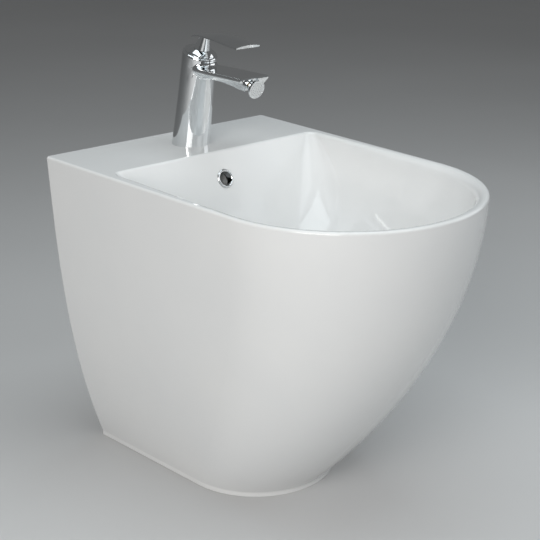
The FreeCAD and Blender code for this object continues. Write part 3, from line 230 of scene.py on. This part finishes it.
def black_rubber():
    """Matt seal rubber, with a grey bloom and a fine grain."""
    g = Graph("soft_rubber")
    bloom = g.noise(scale=120.0, detail=5.0, rough=0.65)
    grain = g.noise(scale=2400.0, detail=3.0)
    g.put(
        g.shader,
        Base_Color=g.colours(
            bloom, dark=(0.020, 0.020, 0.021), light=(0.055, 0.055, 0.056), within=(0.30, 0.75)
        ),
        Roughness=g.span(bloom, low=0.60, high=0.78),
        Normal=g.relief(grain, depth=0.00003, strength=0.5),
    )
    return g.material


def moulded_plastic(name, dark, light, smooth, rough):
    """Moulded plastic, with slight flow marks and a fine mould grain."""
    g = Graph(name)
    flow = g.noise(scale=45.0, detail=4.0)
    grain = g.cells(scale=2600.0)
    g.put(
        g.shader,
        Base_Color=g.colours(flow, dark, light),
        Roughness=g.span(flow, low=smooth, high=rough),
        Normal=g.relief(grain, depth=0.00002, strength=0.35),
    )
    return g.material


def lapped_ceramic():
    """The valve discs' pale ceramic, lapped smooth, with fine specks."""
    g = Graph("lapped_discs")
    speck = g.noise(scale=900.0, detail=3.0)
    g.put(
        g.shader,
        Base_Color=g.colours(
            speck, dark=(0.80, 0.79, 0.76), light=(0.87, 0.86, 0.84), within=(0.35, 0.65)
        ),
        Roughness=g.span(speck, low=0.16, high=0.26),
        Normal=g.relief(speck, depth=0.000006, strength=0.3),
    )
    return g.material


FINISHES = {
    "ceramic": glazed_china(),
    "chrome": polished_chrome(),
    "brass": turned_metal(
        "machined_brass", dark=(0.50, 0.36, 0.14), light=(0.72, 0.55, 0.27), smooth=0.16, rough=0.34
    ),
    "stem_brass": turned_metal(
        "stem_brass_turned", dark=(0.48, 0.35, 0.16), light=(0.70, 0.54, 0.30), smooth=0.14, rough=0.30
    ),
    "steel": turned_metal(
        "bright_steel", dark=(0.42, 0.42, 0.42), light=(0.62, 0.62, 0.61), smooth=0.20, rough=0.36
    ),
    "rubber": black_rubber(),
    "cartridge_plastic": moulded_plastic(
        "pale_plastic", dark=(0.66, 0.66, 0.62), light=(0.76, 0.76, 0.73), smooth=0.36, rough=0.5
    ),
    "bracket_plastic": moulded_plastic(
        "dark_plastic", dark=(0.16, 0.17, 0.18), light=(0.25, 0.26, 0.27), smooth=0.42, rough=0.58
    ),
    "index": moulded_plastic(
        "grey_index", dark=(0.40, 0.41, 0.43), light=(0.47, 0.48, 0.50), smooth=0.18, rough=0.26
    ),
    "disc_ceramic": lapped_ceramic(),
}

for node in nodes.values():
    for slot in node.material_slots:
        slot.material = FINISHES[slot.material.name.split(".")[0]]


def make_spring():
    """A copy of the stopper's spring, held on the fixed body, with the spring part itself hidden."""
    spring = bpy.data.objects.new("stopper_spring", nodes["plug_spring"].data.copy())
    scene.collection.objects.link(spring)
    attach(spring, "fixed")
    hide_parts("plug_spring")
    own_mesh(spring)


def pale_floor():
    """Matt pale grey, with a slow drift of tone and a faint grain."""
    g = Graph("pale_floor")
    drift = g.noise(scale=0.9, detail=4.0)
    grain = g.noise(scale=160.0, detail=3.0)
    g.put(
        g.shader,
        Base_Color=g.colours(drift, dark=(0.60, 0.60, 0.60), light=(0.64, 0.64, 0.64)),
        Roughness=g.span(drift, low=0.7, high=0.8),
        Normal=g.relief(grain, depth=0.0001, strength=0.1),
    )
    return g.material


def make_floor():
    """One wide round face, just below the bidet's foot."""
    corners = []
    for step in range(FLOOR_SIDES):
        turn = 2.0 * math.pi * step / FLOOR_SIDES
        corners.append((FLOOR_RADIUS * math.cos(turn), FLOOR_RADIUS * math.sin(turn), -FLOOR_DROP))
    mesh = bpy.data.meshes.new("floor")
    mesh.from_pydata(corners, [], [list(range(FLOOR_SIDES))])
    floor = bpy.data.objects.new("floor", mesh)
    floor.data.materials.append(pale_floor())
    scene.collection.objects.link(floor)


def make_world():
    """A dim, even light from all around."""
    world = bpy.data.worlds.new("studio")
    world.use_nodes = True
    background = world.node_tree.nodes["Background"]
    background.inputs["Color"].default_value = WORLD_COLOUR
    background.inputs["Strength"].default_value = WORLD_STRENGTH
    scene.world = world


def point_at(piece, at, aim):
    """Stands a lamp or a camera at one place and turns it to face another."""
    piece.location = at
    piece.rotation_mode = "QUATERNION"
    piece.rotation_quaternion = (Vector(aim) - Vector(at)).to_track_quat("-Z", "Y")
    scene.collection.objects.link(piece)


def make_lamp(name, at, aim, width, height, power, colour):
    """A soft rectangular lamp that the camera doesn't see."""
    data = bpy.data.lights.new(name, "AREA")
    data.shape = "RECTANGLE"
    data.size = width
    data.size_y = height
    data.energy = power
    data.color = colour
    lamp = bpy.data.objects.new(name, data)
    lamp.visible_camera = False
    point_at(lamp, at, aim)


def make_camera():
    data = bpy.data.cameras.new("camera")
    data.sensor_width = CAMERA_SENSOR
    data.lens = CAMERA_LENS
    data.clip_start = CAMERA_NEAR
    data.clip_end = CAMERA_FAR
    camera = bpy.data.objects.new("camera", data)
    point_at(camera, CAMERA_AT, CAMERA_AIM)
    scene.camera = camera


make_spring()
make_floor()
make_world()
make_lamp(
    "key",
    at=(-1.60, -0.95, 1.10),
    aim=(-0.05, -0.05, 0.28),
    width=1.1,
    height=1.1,
    power=23.0,
    colour=(1.0, 0.985, 0.965),
)
make_lamp(
    "top",
    at=(0.0, -0.1, 2.2),
    aim=(0.0, -0.05, 0.4),
    width=1.6,
    height=1.6,
    power=18.0,
    colour=(0.88, 0.965, 1.0),
)
make_lamp(
    "front",
    at=(0.45, -1.65, 1.75),
    aim=(0.0, 0.0, 0.35),
    width=1.2,
    height=1.0,
    power=5.0,
    colour=(0.93, 0.975, 1.0),
)
make_lamp(
    "side",
    at=(1.70, -0.80, 1.00),
    aim=(0.0, -0.05, 0.30),
    width=1.4,
    height=1.2,
    power=7.0,
    colour=(0.95, 0.98, 1.0),
)
make_camera()
